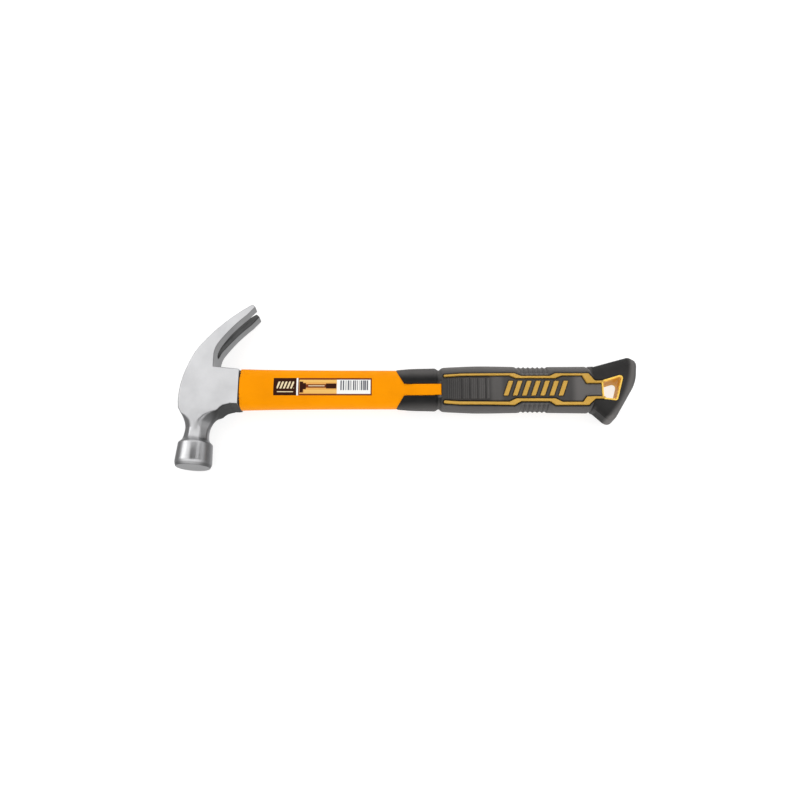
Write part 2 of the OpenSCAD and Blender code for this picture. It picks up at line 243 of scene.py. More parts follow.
def cheeks_and_neck(x, y, z):
    """Claw, cheeks and eye boss, and the neck that narrows below them to an octagon."""
    side = np.minimum(outline_distance(x, y, HEAD_OUTLINE), outline_distance(x, y, NECK_OUTLINE))
    half = np.where(y > -6, claw_half(y), neck_half(y))
    half = half - (CHEEK_HALF - BOSS_END_HALF) * step_up(x, BOSS_X - 3.2, BOSS_X) * (y < 20)
    edge_r = 0.9 - 0.5 * step_up(y, 16, 24) - 0.4 * step_up(x, 36, 42) * (y < 16)
    shape = round_and(side, np.abs(z) - half, edge_r)
    corner = (np.abs(x - NECK_X) + np.abs(z)) / math.sqrt(2) - corner_half(y)
    return blend_max(shape, corner * 0.8, 1.5)


def poll(x, y, z):
    """Octagonal neck, bell, chamfer and slightly crowned striking face."""
    along = -(x - POLL_X) * math.sin(POLL_LEAN) - y * math.cos(POLL_LEAN)
    across = (x - POLL_X) * math.cos(POLL_LEAN) - y * math.sin(POLL_LEAN)
    flat = blend_max(np.abs(across), np.abs(z), 0.5)
    flat = blend_max(flat, (np.abs(across) + np.abs(z)) / math.sqrt(2), 0.5)
    ring = np.hypot(across, z)
    radius = flat + (ring - flat) * step_up(along, 34, 42)
    side = (radius - poll_radius(along)) * 0.8
    chamfer_slope = (BELL_R - FACE_R) / CHAMFER
    chamfer = (radius - BELL_R + (along - FACE_REACH + CHAMFER) * chamfer_slope) * 0.85
    cap = along - FACE_REACH + CROWN * (ring / FACE_R) ** 2
    end = round_and(round_and(side, chamfer, 0.5), cap, 0.2)
    return round_and(end, POLL_ROOT - along, 0.3)


def nail_slot(x, y, z):
    """Tapered slot, bevelled where it opens on the underside of the claw."""
    dx, dy = x - SLOT_ROOT[0], y - SLOT_ROOT[1]
    along = dx * math.cos(SLOT_TURN) + dy * math.sin(SLOT_TURN)
    half = slot_half(along)
    depth = np.hypot(x - UNDER_C[0], y - UNDER_C[1]) - UNDER_R
    half = half + SLOT_BEVEL * (1 - step_up(depth, 0.2, 2.6))
    gap = np.where(along > 0, np.abs(z), np.hypot(along, z)) - half
    normal = -dx * math.sin(SLOT_TURN) + dy * math.cos(SLOT_TURN)
    return np.maximum(gap, -normal - 12)


def eye(y, z):
    """The eye that the handle is glued into."""
    return rounded_box(y, z, EYE_HALF_Y, EYE_HALF_Z, EYE_R)


def head_field(x, y, z):
    """The whole forging, with its slot and eye cut."""
    shape = blend_min(cheeks_and_neck(x, y, z), poll(x, y, z), 1.0)
    shape = round_and(shape, -nail_slot(x, y, z), 0.5)
    return round_and(shape, -eye(y, z), 0.5)


# ---------------------------------------------------------------- handle
SQUARENESS = 2.5
SLEEVE_END_X = 214.0
# sections of the jacket and the grip: x, reach to the claw's side, reach to the face's side, half depth
JACKET = [[SEAL_HI[0], 14.9, 14.9, 11.6], [64, 14.5, 14.5, 11.2], [110, 14, 14, 11],
          [156.5, 13.9, 13.9, 10.8], [162, 13.8, 13.8, 10.6], [169, 12.9, 12.9, 9.8], [215, 12.9, 12.9, 9.8]]
GRIP = [[GRIP_LO[0], 14.2, 14.2, 11.2], [168.5, 15.1, 15.1, 11.8], [181.5, 15.4, 15.4, 12.1],
        [196.5, 16.3, 16.3, 12.7], [216.5, 17, 17, 13], [252, 16.5, 16.5, 13], [300, 16.8, 17, 12.7]]
PATTERN_Y = -2.35
LINE_HALF = 0.75
LINE_PROUD = 0.35
BAR_PROUD = 0.05
INLAY_DEPTH = 2.4
INLAY_R = 0.4
FRAME_LINE = [(191, 9.35), (202, 10.1), (239, 10.4), (243.6, 8.2), (267.6, 8.2), (272, 10.4), (290, 10.4)]
FRAME_JOGS = [[(238, 11.15), (240.6, 11.15), (245.4, 8.9), (244, 7.45), (241.6, 7.45), (236.4, 9.8)],
              [(265.6, 8.9), (270, 11.15), (272.6, 11.15), (274.6, 9.7), (269.4, 7.45), (266.6, 7.45)]]
FRAME_CORNERS = [[(288.9, 7.3), (289.8, 8.8), (293.6, 8.8), (297.6, 3), (297.6, 1.5), (291.8, 1.5)],
                 [(288.9, -12.1), (289.8, -13.5), (293.6, -13.5), (297.6, -10), (297.6, -8.5), (291.8, -8.5)]]
FRAME_TAILS = [[(296, 2.25), (304, 2.5)], [(296, -9.25), (304, -9.3)]]
STRIPE_Y = -3.0
STRIPE_HALF = 4.1
STRIPE_END_X = 188.6
FORK_X = 156.5
FORK_SLANT = 5.6
GROOVE_X = 186.0
BARS_X = (234.5, 280.0)
BAR_SLANT = math.tan(math.radians(20))
BAR_COUNT = 7
BAR_FILL = 0.5
BAR_HALF_H = 5.3
# corners of the butt, the hole and the moulded frame from above
BUTT = [(290, -13, 1), (298, -16.6, 8), (309.4, -27.4, 6), (328.7, 4, 30),
        (330.3, 19.3, 5), (324, 22.8, 3), (302, 16.6, 14), (290, 13, 1)]
BUTT_BOW_C, BUTT_BOW_R = (265.1, 19.4), 64.9
BUTT_HALF, BUTT_RIM_HALF = 12.4, 14.5
BUTT_TAPER = 0.42
HOLE = [(303.8, -9.2), (312.2, -10.3), (317.2, 6.6), (303.8, 2.4)]
HOLE_R = 1.2
HOLE_DRAFT = 0.06
HOLE_TOP_Z = 13.0
LINING = 1.2
LINING_HALF_Z = 13.2


def stations(table):
    """Three curves along x from a table of sections."""
    table = np.array(table, float)
    return [curve_through(table[:, [0, i]]) for i in (1, 2, 3)]


def loft(x, y, z, sections):
    """Distance to a run of rounded sections along x."""
    top, bottom, half = sections
    hy, hz = np.where(y > 0, top(x), bottom(x)), half(x)
    u, v = np.abs(y) / hy, np.abs(z) / hz
    r = np.maximum((u ** SQUARENESS + v ** SQUARENESS) ** (1 / SQUARENESS), 1e-3)
    slope = np.hypot((u / r) ** (SQUARENESS - 1) / hy, (v / r) ** (SQUARENESS - 1) / hz)
    return (r - 1) / np.maximum(slope, 1e-3)


def path_distance(x, y, path):
    """Distance in the xy plane to an open path."""
    best = 1e9
    path = np.array(path, float)
    for a, b in zip(path, path[1:]):
        run = b - a
        t = np.clip(((x - a[0]) * run[0] + (y - a[1]) * run[1]) / (run @ run), 0, 1)
        best = np.minimum(best, np.hypot(x - a[0] - run[0] * t, y - a[1] - run[1] * t))
    return best


JACKET_SECTIONS = stations(JACKET)
GRIP_SECTIONS = stations(GRIP)
BUTT_OUTLINE = rounded_outline(BUTT)
HOLE_OUTLINE = rounded_outline([(x, y, HOLE_R) for x, y in HOLE])


def from_bow(x, y):
    """Distance in the xy plane to the bowed edge of the butt's end."""
    return np.abs(np.hypot(x - BUTT_BOW_C[0], y - BUTT_BOW_C[1]) - BUTT_BOW_R)


def grip_body(x, y, z):
    """Outside of the grip, without its pattern."""
    tube = np.maximum(loft(x, y, z, GRIP_SECTIONS), x - 298)
    half = BUTT_HALF + (BUTT_RIM_HALF - BUTT_HALF) * step_up(-from_bow(x, y), -8.5, -4)
    draw = BUTT_TAPER * np.maximum(np.abs(z) - 6, 0)
    butt = round_and(outline_distance(x, y, BUTT_OUTLINE) + draw, np.abs(z) - half, 4.5)
    return blend_min(tube, butt, 1.2)


def frame_lines(x, y):
    """The moulded frame in the xy plane, negative inside its lines."""
    mirrored = np.abs(y - PATTERN_Y)
    lines = path_distance(x, mirrored, FRAME_LINE) - LINE_HALF
    for jog in FRAME_JOGS:
        lines = np.minimum(lines, outline_distance(x, mirrored, np.array(jog, float)))
    for tail in FRAME_TAILS:
        lines = np.minimum(lines, path_distance(x, y, tail) - LINE_HALF)
    for corner in FRAME_CORNERS:
        lines = np.minimum(lines, outline_distance(x, y, np.array(corner, float)))
    return lines


def slanted_bars(x, y):
    """Distance in the xy plane to the nearest slanted bar."""
    y = y - PATTERN_Y
    pitch = (BARS_X[1] - BARS_X[0]) / BAR_COUNT
    along = x - BARS_X[0] - y * BAR_SLANT
    nearest = np.clip(np.floor(along / pitch + 0.25), 0, BAR_COUNT - 1)
    half = pitch * BAR_FILL / 2
    band = (np.abs(along - nearest * pitch - half) - half) * 0.94
    return np.maximum(band, np.abs(y) - BAR_HALF_H)


def stripe(x, y):
    """The jacket's stripe between the collar's prongs, in the xy plane."""
    return np.maximum(np.abs(y - STRIPE_Y) - STRIPE_HALF, x - STRIPE_END_X)


def hole(x, y, z):
    """The hanging hole, drafted so that it opens towards the lower face."""
    return outline_distance(x, y, HOLE_OUTLINE) - HOLE_DRAFT * (HOLE_TOP_Z - z)


def groove(distance, width, depth):
    """Depth of a rounded groove at a distance from its middle."""
    return depth * np.exp(-(distance / width * 1.6) ** 2)


def grip_relief(x, y):
    """How deep the grip's face is cut at each place."""
    py = np.abs(y - PATTERN_Y)
    cut = groove(frame_lines(x, y), 1.3, 0.9)
    # panel inside the frame
    inside = 9.7 - 2.2 * step_up(x, 239, 244) + 2.2 * step_up(x, 267, 272) - 5 * step_up(x, 289, 294)
    cut = cut + 0.55 * step_up(inside - py, 0, 1.2) * step_up(x, 189, 190.5) * (1 - step_up(x, 303, 304))
    # slanted bars stand in shallow pockets
    cut = cut + groove(np.maximum(slanted_bars(x, y), 0), 1.0, 0.7) * (x > 228) * (x < 286)
    # ribbed recesses of the rails
    rail = step_up(x + 0.7 * (py - 12), 244.4, 246.4) * (1 - step_up(x, 264, 266)) * step_up(py, 10, 11.4)
    ribs = 0.5 + 0.5 * np.cos((x - 255) / 3.4 * 2 * math.pi)
    cut = cut + rail * (0.9 - 0.75 * ribs ** 2)
    # collar: a crease along each prong and the groove behind it
    collar = step_up(x, 159, 170) * (1 - step_up(x, GROOVE_X - 3, GROOVE_X - 1))
    sy = np.abs(y - STRIPE_Y)
    cut = cut + collar * (groove(sy - 6.6, 1.5, 0.8) + 0.4 * (1 - step_up(sy, 5.6, 7)))
    outer = step_up(sy, STRIPE_HALF + 0.6, STRIPE_HALF + 1.6)
    cut = cut + groove(x - GROOVE_X - 0.8, 2.7, 1.7) * outer
    # step between the rails and the butt
    cut = cut + groove(x - 296 + 0.35 * (py - 12), 1.4, 0.9) * step_up(py, 8.5, 11)
    return cut


def fork(x, y, z):
    """Room in front of the collar: its prongs lead and the stripe stays free."""
    across = np.abs(y - STRIPE_Y * np.minimum(np.abs(z) / 9.5, 1)) - STRIPE_HALF
    return x - FORK_X - FORK_SLANT * (1 - np.clip(across / 9.8, 0, 1))


def grip_field(x, y, z):
    """The rubber grip, cut where the jacket shows through it."""
    shape = grip_body(x, y, z) + grip_relief(x, y)
    shape = round_and(shape, -fork(x, y, z), 0.5)
    shape = round_and(shape, -(stripe(x, y) - 0.2), 0.4)
    shape = round_and(shape, -(frame_lines(x, y) - 0.12), 0.25)
    shape = round_and(shape, -(hole(x, y, z) - LINING), 0.5)
    return shape


def sleeve_field(x, y, z):
    """The jacket's plain sleeve, from the seal into the grip."""
    ends = np.maximum(SEAL_LO[0] + 0.4 - x, x - SLEEVE_END_X)
    return round_and(loft(x, y, z, JACKET_SECTIONS), ends, 0.4)


def stripe_field(x, y, z):
    """The stripe, level with the sleeve at first and then with the grip."""
    on_sleeve, on_grip = loft(x, y, z, JACKET_SECTIONS), loft(x, y, z, GRIP_SECTIONS)
    rise = step_up(x, 160, 170)
    top = (on_grip + 0.35) * rise + (on_sleeve + 0.1) * (1 - rise)
    ends = np.maximum(FORK_X + 2 - x, x - STRIPE_END_X)
    return np.maximum(round_and(np.maximum(stripe(x, y), ends), top, 0.6), -(on_grip + 4.5))


def inlay(flat, body, proud):
    """A flat shape that stands proud of a body and is rooted in it."""
    return np.maximum(round_and(flat, body - proud, INLAY_R), -(body + INLAY_DEPTH))


def lines_field(x, y, z):
    """The raised lines of the frame."""
    return inlay(frame_lines(x, y), grip_body(x, y, z), LINE_PROUD)


def bars_field(x, y, z):
    """The slanted bars inside the frame."""
    return inlay(slanted_bars(x, y), grip_body(x, y, z), BAR_PROUD)


def lining_field(x, y, z):
    """The lining of the hanging hole, flush with both faces of the butt."""
    ring = round_and(hole(x, y, z) - LINING, -hole(x, y, z), 0.3)
    faces = np.maximum(grip_body(x, y, z), np.abs(z) - LINING_HALF_Z)
    return round_and(ring, faces - 0.2, 0.5)


CORE_R = 4.0
SEAL_HALF_Y = 14.2
SEAL_HALF_Z = 10.7
SEAL_R = 8.5


def rounded_box(y, z, half_y, half_z, radius):
    """Signed distance to a rounded rectangle across the handle."""
    qy, qz = np.abs(y) - half_y + radius, np.abs(z) - half_z + radius
    return np.hypot(np.maximum(qy, 0), np.maximum(qz, 0)) + np.minimum(np.maximum(qy, qz), 0) - radius


def core(y, z):
    """The fibreglass rod across the handle."""
    return rounded_box(y, z, (CORE_HI[1] - CORE_LO[1]) / 2, (CORE_HI[2] - CORE_LO[2]) / 2, CORE_R)


def seal_field(x, y, z):
    """The dam ring round the rod."""
    middle_x = (SEAL_LO[0] + SEAL_HI[0]) / 2
    half_x = (SEAL_HI[0] - SEAL_LO[0]) / 2
    ring = round_and(rounded_box(y, z, SEAL_HALF_Y, SEAL_HALF_Z, SEAL_R), -core(y, z), 0.2)
    return round_and(ring, np.abs(x - middle_x) - half_x, 0.3)


def epoxy_field(x, y, z):
    """Resin that fills the eye round the core, sunk a little where it set."""
    gap = np.minimum(-eye(y, z), core(y, z))
    top = EPOXY_LO[0] + 0.5 * step_up(gap, 0, 1.2)
    return np.maximum(np.maximum(eye(y, z), -core(y, z)), np.maximum(top - x, x - EPOXY_HI[0]))


# ---------------------------------------------------------------- meshes
QUICK = 1.0
EDGES = [(a, b) for a in range(8) for b in range(a + 1, 8) if bin(a ^ b).count("1") == 1]


def gradient(points, field, step):
    """Slope of a field at each point."""
    out = np.empty_like(points)
    for axis in range(3):
        ahead, behind = points.copy(), points.copy()
        ahead[:, axis] += step
        behind[:, axis] -= step
        out[:, axis] = (field(*ahead.T) - field(*behind.T)) / (2 * step)
    return out


def surface_net(field, low, high, cell):
    """Quads over the zero surface of a field, pulled exactly onto it."""
    axes = [np.arange(a - 1.5 * cell, b + 2.5 * cell, cell) for a, b in zip(low, high)]
    shape = [len(a) for a in axes]
    grid = np.broadcast_to(field(*np.meshgrid(*axes, indexing="ij", sparse=True)), shape)
    inside = grid < 0
    offsets = [np.array([(c >> a) & 1 for a in range(3)]) for c in range(8)]
    cells = [n - 1 for n in shape]
    count = sum(inside[o[0]:o[0] + cells[0], o[1]:o[1] + cells[1], o[2]:o[2] + cells[2]].astype(np.int8)
                for o in offsets)
    active = (count > 0) & (count < 8)
    index = np.argwhere(active)
    number = np.full(cells, -1)
    number[active] = np.arange(len(index))
    values = np.stack([grid[tuple((index + o).T)] for o in offsets], 1)
    total, hits = np.zeros((len(index), 3)), np.zeros(len(index))
    for a, b in EDGES:
        va, vb = values[:, a], values[:, b]
        crossing = (va < 0) != (vb < 0)
        t = np.where(crossing, va / np.where(crossing, va - vb, 1), 0)
        total += crossing[:, None] * (offsets[a] + t[:, None] * (offsets[b] - offsets[a]))
        hits += crossing
    points = np.array([a[0] for a in axes]) + (index + total / hits[:, None]) * cell
    quads = []
    for axis in range(3):
        u, v = (axis + 1) % 3, (axis + 2) % 3
        here = [slice(1, -1)] * 3
        here[axis] = slice(0, -1)
        ahead = list(here)
        ahead[axis] = slice(1, None)
        start, end = inside[tuple(here)], inside[tuple(ahead)]
        base = np.array([0 if a == axis else 1 for a in range(3)])
        at = np.argwhere(start != end) + base
        outward = start[tuple((at - base).T)]
        ring = []
        for du, dv in ((-1, -1), (0, -1), (0, 0), (-1, 0)):
            move = np.zeros(3, int)
            move[u], move[v] = du, dv
            ring.append(number[tuple((at + move).T)])
        ring = np.stack(ring, 1)
        quads.append(np.where(outward[:, None], ring, ring[:, ::-1]))
    quads = np.concatenate(quads)
    for _ in range(3):
        slope = gradient(points, field, 0.03)
        step = field(*points.T) / np.maximum((slope ** 2).sum(1), 0.2)
        points = points - slope * np.clip(step, -0.4 * cell, 0.4 * cell)[:, None]
    return points, quads


def to_frame(points):
    """Local millimetres to metres in the shared frame."""
    return points * MM + np.array(ORIGIN)


def new_piece(name, points, faces, material, nodes, normals=None):
    """A mesh object in the shared frame from points in local millimetres."""
    mesh = bpy.data.meshes.new(name)
    mesh.from_pydata(to_frame(points).tolist(), [], np.asarray(faces).tolist())
    mesh.validate()
    mesh.shade_smooth()
    if normals is not None:
        mesh.normals_split_custom_set_from_vertices(normals.tolist())
    piece = bpy.data.objects.new(name, mesh)
    bpy.context.scene.collection.objects.link(piece)
    mesh.materials.append(material)
    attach(piece, "root")
    for node in nodes:
        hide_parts(node)
    return piece


def solid(name, field, low, high, cell, material, nodes):
    """A piece over a field's surface, with the normals of the field; cell is the mesh size."""
    points, quads = surface_net(field, low, high, cell * QUICK)
    normals = gradient(points, field, 0.1)
    normals /= np.maximum(np.linalg.norm(normals, axis=1), 1e-9)[:, None]
    piece = new_piece(name, points, quads, material, nodes, normals)
    return piece, points, normals


def paint(piece, name, values):
    """A value per point that the material can read."""
    layer = piece.data.attributes.new(name, "FLOAT", "POINT")
    layer.data.foreach_set("value", np.clip(values, 0, 1).astype(np.float32))


# ---------------------------------------------------------------- materials
class Shade:
    """A Principled material with helpers for its nodes."""

    def __init__(self, name, **values):
        self.material = bpy.data.materials.new(name)
        self.material.use_nodes = True
        self.nodes = self.material.node_tree.nodes
        self.links = self.material.node_tree.links
        self.shader = self.nodes["Principled BSDF"]
        self.place = self.nodes.new("ShaderNodeTexCoord").outputs["Object"]
        for socket, value in values.items():
            self.shader.inputs[socket.replace("_", " ")].default_value = value

    def node(self, kind, settings=None, **inputs):
        """A new node; its inputs go by name, or by number as i0, i1 and so on."""
        node = self.nodes.new("ShaderNode" + kind)
        for key, value in (settings or {}).items():
            setattr(node, key, value)
        for key, value in inputs.items():
            numbered = key[0] == "i" and key[1:].isdigit()
            socket = node.inputs[int(key[1:]) if numbered else key.replace("_", " ")]
            if isinstance(value, bpy.types.NodeSocket):
                self.links.new(value, socket)
            else:
                socket.default_value = value
        return node

    def noise(self, scale, detail=3.0, stretch=(1, 1, 1), roughness=0.55):
        place = self.node("Mapping", Vector=self.place, Scale=stretch).outputs[0]
        noise = self.node("TexNoise", Vector=place, Scale=scale, Detail=detail, Roughness=roughness)
        return noise.outputs["Fac"]

    def ramp(self, value, low, high, stops=(0.3, 0.7)):
        ramp = self.node("ValToRGB", Fac=value)
        for element, place, colour in zip(ramp.color_ramp.elements, stops, (low, high)):
            element.position = place
            element.color = (*colour, 1)
        return ramp.outputs["Color"]

    def spread(self, value, low, high, from_low=0.3, from_high=0.7):
        return self.node("MapRange", Value=value, From_Min=from_low, From_Max=from_high,
                         To_Min=low, To_Max=high).outputs["Result"]

    def mix(self, share, a, b):
        return self.node("Mix", {"data_type": "RGBA"}, i0=share, i6=a, i7=b).outputs[2]

    def math(self, operation, a, b=0.0):
        return self.node("Math", {"operation": operation}, i0=a, i1=b).outputs[0]

    def bump(self, *layers):
        """Layers of (height, strength, distance in mm)."""
        normal = None
        for height, strength, distance in layers:
            node = self.node("Bump", Height=height, Strength=strength, Distance=distance * MM)
            if normal is not None:
                self.links.new(normal, node.inputs["Normal"])
            normal = node.outputs["Normal"]
        self.set("Normal", normal)

    def set(self, socket, value):
        self.links.new(value, self.shader.inputs[socket])


def steel():
    """Polished forging, turned dark and dull by the scale attribute: raw forge scale in the slot and eye,
    with painted shade in the slot and on the undersides, back edges, tip ends and chamfer.
    """
    shade = Shade("satin_forged_steel", Metallic=1.0)
    cloud = shade.noise(60, 4)
    brush = shade.noise(900, 3, (1.0, 0.12, 1.0))
    grain = shade.noise(4200, 2)
    # scale: dark forge scale, and painted shade where the head's faces turn down, back or to the tips
    scale = shade.node("Attribute", {"attribute_name": "scale"}).outputs["Fac"]
    bright = shade.ramp(cloud, (0.56, 0.56, 0.57), (0.66, 0.66, 0.67))
    dull = shade.ramp(cloud, (0.10, 0.10, 0.10), (0.15, 0.15, 0.15))
    shade.set("Base Color", shade.mix(scale, bright, dull))
    dulled = shade.math("MULTIPLY", scale, 0.2)
    shade.set("Roughness", shade.math("ADD", shade.spread(brush, 0.3, 0.38), dulled))
    shade.bump((brush, 0.25, 0.02), (grain, 0.25, 0.02))
    return shade.material


def plastic():
    """Orange jacket plastic with a slight cloud and a fine grain."""
    shade = Shade("orange_jacket_plastic", IOR=1.45, Specular_IOR_Level=0.04)
    cloud = shade.noise(45, 4)
    grain = shade.noise(2500, 2)
    shade.set("Base Color", shade.ramp(cloud, (0.81, 0.262, 0.0), (0.88, 0.292, 0.0)))
    shade.set("Roughness", shade.spread(shade.noise(180, 3), 0.32, 0.42))
    shade.bump((grain, 0.12, 0.02), (cloud, 0.1, 0.2))
    return shade.material


def gold_plastic(name, dark, light):
    """Raised lines, bars and lining: the same plastic in a paler gold."""
    shade = Shade(name, IOR=1.45, Specular_IOR_Level=0.35)
    cloud = shade.noise(90, 4)
    shade.set("Base Color", shade.ramp(cloud, dark, light))
    shade.set("Roughness", shade.spread(shade.noise(180, 3), 0.4, 0.5))
    shade.bump((shade.noise(2500, 2), 0.12, 0.02))
    return shade.material


def rubber():
    """Grained rubber whose tone is painted per point, painted highlights and painted shade included."""
    shade = Shade("black_grip_rubber", IOR=1.45, Specular_IOR_Level=0.22, Sheen_Weight=0.04,
                  Sheen_Roughness=0.5)
    cloud = shade.noise(55, 4)
    grain = shade.noise(3200, 2)
    tone_and_painted_light = shade.node("Attribute", {"attribute_name": "tone_and_painted_light"}).outputs["Fac"]
    tone_and_painted_light = shade.math("ADD", tone_and_painted_light, shade.spread(cloud, -0.04, 0.04))
    # from black in the painted shade to grey in the painted highlights
    shade.set("Base Color", shade.ramp(tone_and_painted_light, (0.006, 0.006, 0.006), (0.125, 0.118, 0.114), (0.0, 1.0)))
    shade.set("Roughness", shade.spread(shade.noise(240, 3), 0.46, 0.58))
    shade.bump((grain, 0.35, 0.04))
    return shade.material


def black_seal():
    """Smooth black rubber of the dam ring."""
    shade = Shade("black_seal_rubber", IOR=1.45)
    shade.set("Base Color", shade.ramp(shade.noise(400, 3), (0.012, 0.012, 0.012), (0.03, 0.03, 0.03)))
    shade.set("Roughness", shade.spread(shade.noise(900, 2), 0.5, 0.65))
    shade.bump((shade.noise(3000, 2), 0.3, 0.03))
    return shade.material


def resin():
    """Set amber resin, glossy and uneven."""
    shade = Shade("amber_resin", IOR=1.55, Coat_Weight=0.3, Coat_Roughness=0.1)
    shade.set("Base Color", shade.ramp(shade.noise(250, 4), (0.09, 0.045, 0.015), (0.17, 0.09, 0.03)))
    shade.set("Roughness", shade.spread(shade.noise(500, 3), 0.2, 0.4))
    shade.bump((shade.noise(700, 3), 0.3, 0.1))
    return shade.material


def glass_fibre():
    """Cut ends of fine rods bound in pale resin, drawn out along the handle."""
    shade = Shade("drawn_glass_fibre", IOR=1.52)
    drawn = shade.node("Mapping", Vector=shade.place, Scale=(0.02, 1, 1)).outputs[0]
    strands = shade.node("TexVoronoi", Vector=drawn, Scale=1500.0).outputs["Distance"]
    shade.set("Base Color", shade.ramp(strands, (0.74, 0.68, 0.44), (0.42, 0.36, 0.18), (0.2, 0.75)))
    shade.set("Roughness", shade.spread(strands, 0.3, 0.6, 0.0, 0.8))
    shade.bump((strands, 0.4, 0.05))
    return shade.material


def printed_film():
    """Printed label: its inks are in the mesh, under a thin clear coat."""
    shade = Shade("printed_label_film", IOR=1.5, Specular_IOR_Level=0.05, Coat_Weight=0.01,
                  Coat_Roughness=0.2)
    ink = shade.node("Attribute", {"attribute_name": "ink"}).outputs["Color"]
    worn = shade.spread(shade.noise(2200, 3), 0.0, 0.015)
    shade.set("Base Color", shade.mix(worn, ink, (0.5, 0.45, 0.38, 1)))
    shade.set("Roughness", shade.spread(shade.noise(300, 3), 0.35, 0.5))
    shade.bump((shade.noise(600, 2), 0.08, 0.03))
    return shade.material


STEEL, PLASTIC, RUBBER = steel(), plastic(), rubber()
GOLD = gold_plastic("gold_line_plastic", (0.49, 0.28, 0.04), (0.55, 0.32, 0.056))
# the lining's paler gold is painted light on the hole wall, which stands in shade
LINING_GOLD_PAINTED_LIGHT = gold_plastic("gold_lining_plastic_painted_light", (0.86, 0.54, 0.08), (0.92, 0.60, 0.11))


# ---------------------------------------------------------------- head and handle pieces
def head_scale_and_shade(points, facing):
    """How dark each point of the head is made: forge scale on the slot and eye walls, with painted shade in
    the slot and on the undersides, back edges, tip ends and chamfer.
    """
    x, y, z = points.T
    nx, ny = facing[:, 0], facing[:, 1]
    # slot walls: forge scale that also serves as painted shade in the narrow slot
    slot_wall = (1 - step_up(nail_slot(x, y, z), 0.2, 1.0)) * step_up(y, 20, 24)
    eye_wall = 1 - step_up(eye(y, z), 0.1, 0.6)
    # painted shade on faces turned down under the boss and claw, on the back edges, the tip ends and the
    # chamfer
    under_boss = step_up(0.6 * nx - ny, 0.5, 1.0) * step_up(x, 20, 30)
    under_boss = under_boss * step_up(y, -34, -24) * (1 - step_up(y, -8, -4))
    under_claw = 0.16 * step_up(nx, 0.3, 0.7) * step_up(y, 14, 18)
    back = 0.6 * step_up(-nx, 0.3, 0.75) * step_up(y, -16, -12)
    tips = 0.6 * step_up(nx, 0.5, 0.8) * step_up(y - 0.3 * (x - 50), 57.6, 58.6)
    bevel = 0.5 * step_up(-ny, 0.2, 0.45) * (1 - step_up(-ny, 0.7, 0.9)) * (1 - step_up(y, -54, -53))
    return np.maximum.reduce([slot_wall, eye_wall, under_boss, under_claw, back, tips, bevel])


def grip_tone_and_painted_light(points, facing):
    """How light the rubber is at each point of the grip, from 0 for black, with painted highlights on the
    flanks, upper rail, collar edges and butt rim, and painted shade on the lower rail and beside the frame
    lines.
    """
    x, y, _ = points.T
    py = np.abs(y - PATTERN_Y)
    flank = np.abs(facing[:, 1])
    # painted highlight on the upper rail and on faces turned to the sides, painted shade on the lower rail
    rail = 0.24 + 0.3 * step_up(y, 2, 8) - 0.2 * step_up(-y, 8, 12) + 0.7 * step_up(flank, 0.3, 0.95)
    panel = 0.31 + 0.32 * step_up(x, 222, 226) - 0.25 * step_up(x, 230, 234) + 0.5 * step_up(x, 280, 286)
    in_panel = (1 - step_up(py, 8.6, 9.8)) * step_up(x, 188, 190)
    tone_and_painted_light = rail + (panel - rail) * in_panel
    # collar: painted highlight towards the outer edges of the prongs
    collar = 0.02 + 0.6 * step_up(np.abs(y - STRIPE_Y), 7.5, 14)
    tone_and_painted_light = collar + (tone_and_painted_light - collar) * step_up(x, GROOVE_X - 1, GROOVE_X + 2)
    # painted highlight on the butt's rim, less where it faces the end, and on its flank on the face's side
    rim = step_up(-from_bow(x, y), -8, -4) * (1 - 0.6 * step_up(facing[:, 0], 0.7, 0.95))
    butt = 0.1 + 0.25 * step_up(flank, 0.6, 1) * (y < 0) + 0.8 * rim
    tongue = (1 - step_up(np.abs(y + 3.5), 5, 5.8)) * (1 - step_up(x, 303, 304))
    tone_and_painted_light = tone_and_painted_light + (butt - tone_and_painted_light) * step_up(x, 295, 297.5) * (1 - tongue)
    # painted shade beside the frame lines
    return tone_and_painted_light * (1 - 0.7 * (1 - step_up(frame_lines(x, y), 0.3, 1.6)))


head, at, facing = solid("head_forging", head_field, HEAD_LO, HEAD_HI, 0.5, STEEL, ["head"])
# scale: forge scale and painted shade, darkening and dulling the steel
paint(head, "scale", head_scale_and_shade(at, facing))

for name, field, low, high, cell, material in (
        ("jacket_sleeve", sleeve_field, JACKET_LO, (SLEEVE_END_X, 15, 12), 1.0, PLASTIC),
        ("jacket_stripe", stripe_field, (156, -8, -13), (190, 3, 13), 0.5, PLASTIC),
        ("jacket_frame_lines", lines_field, (189, -17, -14), (306, 12, 14), 0.42, GOLD),
        ("jacket_slanted_bars", bars_field, (231, -9, -14), (284, 4, 14), 0.42, GOLD),
        ("jacket_hole_lining", lining_field, (301, -13, -14), (320, 9, 14), 0.45, LINING_GOLD_PAINTED_LIGHT)):
    piece, _, _ = solid(name, field, low, high, cell, material, ["handle_jacket"])
    # the steel doesn't pick up the sleeve's orange
    piece.visible_glossy = name != "jacket_sleeve"

grip, at, facing = solid("grip_rubber", grip_field, GRIP_LO, GRIP_HI, 0.6, RUBBER, ["grip"])
# tone: the rubber's painted highlights and painted shade
paint(grip, "tone_and_painted_light", grip_tone_and_painted_light(at, facing))

solid("eye_seal_ring", seal_field, (43, -15, -12), (46, 15, 12), 0.5, black_seal(),
      ["eye_seal"])
solid("eye_resin", epoxy_field, EPOXY_LO, EPOXY_HI, 0.8, resin(), ["eye_epoxy"])
core_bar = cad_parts["fibreglass_core"]
core_bar.data.materials.clear()
core_bar.data.materials.append(glass_fibre())


